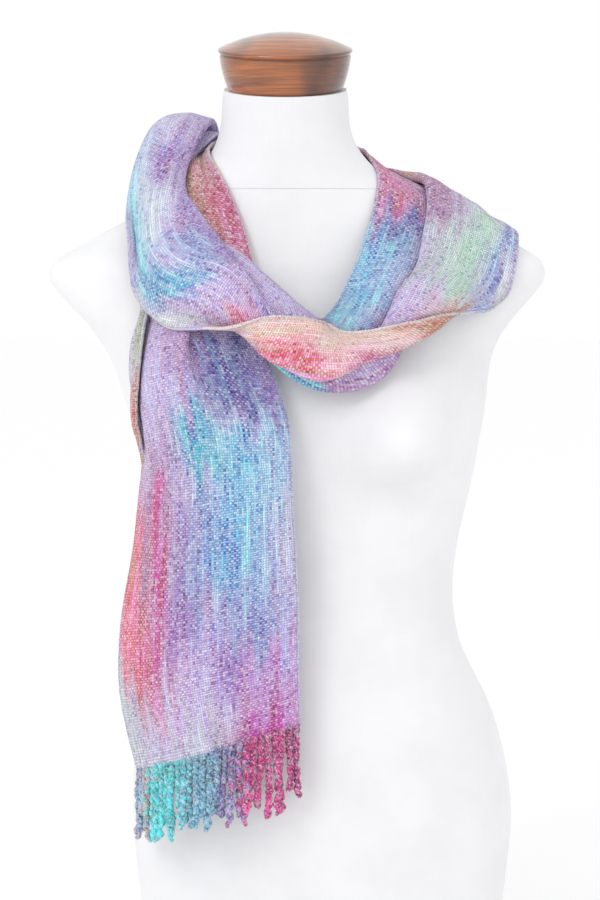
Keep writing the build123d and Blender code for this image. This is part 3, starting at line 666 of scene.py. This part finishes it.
def jersey_material(name):
    """Matt white knit pulled tight: fine wales and courses, and a faint mottle."""
    shade = Shade(name)
    wales = shade.add("ShaderNodeTexWave", Vector=shade.place(), Scale=310.0, Distortion=0.6, Detail=1.0)
    wales.bands_direction = "X"
    courses = shade.add("ShaderNodeTexWave", Vector=shade.place(), Scale=420.0, Distortion=0.6, Detail=1.0)
    courses.bands_direction = "Z"
    stitch = shade.maths("MULTIPLY", wales.outputs["Fac"], courses.outputs["Fac"])
    mottle = shade.noise(shade.place(), 14.0, 4.0, 0.6)
    colour = shade.mix(shade.spread(mottle, 0.3, 0.7), tone(230, 230, 232), tone(236, 236, 238))
    shade.bump(shade.maths("MULTIPLY_ADD", mottle, 0.4, stitch), 0.35, 0.0003)
    return shade.look(Base_Color=colour, Roughness=shade.spread(stitch, 0.0, 1.0, 0.92, 0.78),
                      Sheen_Weight=0.12, Specular_IOR_Level=0.25)


def lacquered_wood():
    """Red-brown turned wood with its grain running across, under clear gloss lacquer."""
    shade = Shade("cap_lacquered_wood")
    fibre = shade.noise(shade.place((9, 30, 420)), 1.5, 5.0, 0.6)
    figure = shade.noise(shade.place((9, 4, 5)), 2.0, 2.0, 0.5)
    streak = shade.noise(shade.place((4, 8, 90)), 2.0, 2.0, 0.5)
    warm = shade.mix(shade.spread(figure, 0.38, 0.60), tone(80, 36, 14), tone(178, 98, 36))
    grained = shade.mix(shade.spread(fibre, 0.36, 0.66, 0.0, 0.5), warm, tone(62, 26, 10))
    colour = shade.mix(shade.spread(streak, 0.58, 0.68, 0.0, 0.4), grained, tone(50, 20, 9))
    shade.bump(fibre, 0.12, 0.0002)
    return shade.look(Base_Color=colour, Roughness=shade.spread(fibre, 0.3, 0.7, 0.30, 0.42),
                      Coat_Weight=1.0, Coat_Roughness=0.05)


def shell_material(name):
    """Moulded fibreglass: faint chopped strands under a satin gel coat."""
    shade = Shade(name)
    strands = shade.noise(shade.place((1, 1, 3)), 160.0, 4.0, 0.75)
    cloud = shade.noise(shade.place(), 12.0, 3.0, 0.6)
    colour = shade.mix(shade.spread(strands, 0.42, 0.60), tone(206, 200, 186), tone(228, 224, 214))
    colour = shade.mix(shade.spread(cloud, 0.4, 0.7, 0.0, 0.4), colour, tone(214, 206, 190))
    shade.bump(strands, 0.4, 0.0006)
    return shade.look(Base_Color=colour, Roughness=shade.spread(cloud, 0.3, 0.7, 0.5, 0.7))


def plywood_material(name):
    """Birch plywood: long grain on the faces and thin plies through the thickness."""
    shade = Shade(name)
    grain = shade.noise(shade.place((10, 130, 130)), 1.6, 5.0, 0.6)
    figure = shade.noise(shade.place((3, 18, 3)), 3.0, 3.0, 0.5)
    plies = shade.add("ShaderNodeTexWave", Vector=shade.place(), Scale=105.0, Distortion=0.3)
    plies.bands_direction = "Z"
    colour = shade.mix(shade.spread(grain, 0.35, 0.65), tone(176, 138, 92), tone(214, 182, 136))
    colour = shade.mix(shade.spread(figure, 0.5, 0.7, 0.0, 0.5), colour, tone(190, 150, 104))
    colour = shade.mix(shade.spread(plies.outputs["Fac"], 0.35, 0.65, 0.0, 0.25), colour,
                       tone(140, 100, 62))
    shade.bump(grain, 0.35, 0.0004)
    return shade.look(Base_Color=colour, Roughness=shade.spread(grain, 0.3, 0.7, 0.62, 0.80))


def metal_material(name, clean, worn, rough):
    """Turned or drawn metal with a fine lay, handling marks and a little tarnish."""
    shade = Shade(name)
    lay = shade.noise(shade.place((60, 60, 1400)), 1.5, 4.0, 0.6)
    tarnish = shade.noise(shade.place(), 120.0, 4.0, 0.65)
    colour = shade.mix(shade.spread(tarnish, 0.42, 0.68, 0.0, 0.8), clean, worn)
    shade.bump(lay, 0.15, 0.0001)
    return shade.look(Base_Color=colour, Metallic=1.0,
                      Roughness=shade.spread(tarnish, 0.3, 0.7, rough, rough + 0.2))


def coated_material(name, colour, worn, grain, rough):
    """Powder coat or moulded plastic with a pebbled surface and rubbed patches."""
    shade = Shade(name)
    pebble = shade.noise(shade.place(), grain, 3.0, 0.6)
    rubbed = shade.noise(shade.place(), 70.0, 4.0, 0.7)
    finish = shade.mix(shade.spread(rubbed, 0.5, 0.72, 0.0, 0.7), colour, worn)
    shade.bump(pebble, 0.5, 0.0003)
    return shade.look(Base_Color=finish, Roughness=shade.spread(rubbed, 0.3, 0.7, rough + 0.12, rough))


def dress(material, *pieces):
    for piece in pieces:
        piece.data.materials.clear()
        piece.data.materials.append(material)


dress(weave_material(), cloth)
dress(yarn_material(), selvedge, front_fringe, back_fringe)
dress(jersey_material("jersey_knit"), nodes["torso_cover"], nodes["neck_cover"])
dress(lacquered_wood(), nodes["neck_cap"])
dress(shell_material("shell_fibreglass"), nodes["torso_shell_front"], nodes["torso_shell_back"])
dress(plywood_material("birch_plywood"), nodes["neck_plate"], nodes["base_plate"], nodes["base_blocks"])
dress(metal_material("brass_turned", tone(214, 172, 92), tone(150, 108, 52), 0.22), nodes["cap_bushing"])
dress(metal_material("steel_zinc", tone(196, 198, 202), tone(140, 138, 132), 0.30), nodes["cap_peg"],
      nodes["neck_plate_screws"], nodes["base_screws"], nodes["flange_bolts"], nodes["flange_tnuts"],
      nodes["lock_screw"])
dress(coated_material("socket_powder_coat", tone(34, 34, 36), tone(70, 70, 72), 1600.0, 0.42),
      nodes["pole_sleeve"], nodes["sleeve_collar"], nodes["sleeve_flange"], nodes["sleeve_plug"])
dress(coated_material("knob_plastic", tone(24, 24, 26), tone(52, 52, 54), 2600.0, 0.35), nodes["lock_knob"])

# ---------------------------------------------------------------- stage, light and camera
bpy.ops.mesh.primitive_plane_add(size=30)
floor = bpy.context.object
floor.name = "floor"
paint = Shade("floor_paint")
paint.bump(paint.noise(paint.place(), 60.0), 0.1, 0.001)
dress(paint.look(Base_Color=(0.99, 0.99, 0.99), Roughness=0.9), floor)

world = bpy.data.worlds.new("studio")
bpy.context.scene.world = world
world.use_nodes = True
world.node_tree.nodes["Background"].inputs["Color"].default_value = (1, 1, 1, 1)
world.node_tree.nodes["Background"].inputs["Strength"].default_value = 1.0


def softbox(name, place, target, size, power):
    light = bpy.data.lights.new(name, "AREA")
    light.shape = "RECTANGLE"
    light.size, light.size_y = size
    light.energy = power
    obj = bpy.data.objects.new(name, light)
    bpy.context.scene.collection.objects.link(obj)
    obj.location = place
    obj.rotation_euler = (Vector(target) - Vector(place)).to_track_quat("-Z", "Y").to_euler()


softbox("key", (-1.3, -1.9, 1.9), (0, 0, 0.5), (0.9, 0.9), 15)
softbox("fill", (1.7, -1.4, 1.0), (0, 0, 0.45), (1.2, 1.6), 2)

camera = bpy.data.objects.new("camera", bpy.data.cameras.new("camera"))
bpy.context.scene.collection.objects.link(camera)
camera.location = (-0.019, -2.4, 0.64)
camera.rotation_euler = (Vector((-0.019, 0, 0.456)) - camera.location).to_track_quat("-Z", "Y").to_euler()
camera.data.sensor_fit = "VERTICAL"
camera.data.sensor_height = 36
camera.data.lens = 111.96
bpy.context.scene.camera = camera
bpy.context.scene.view_settings.view_transform = "Standard"

bpy.context.view_layer.update()
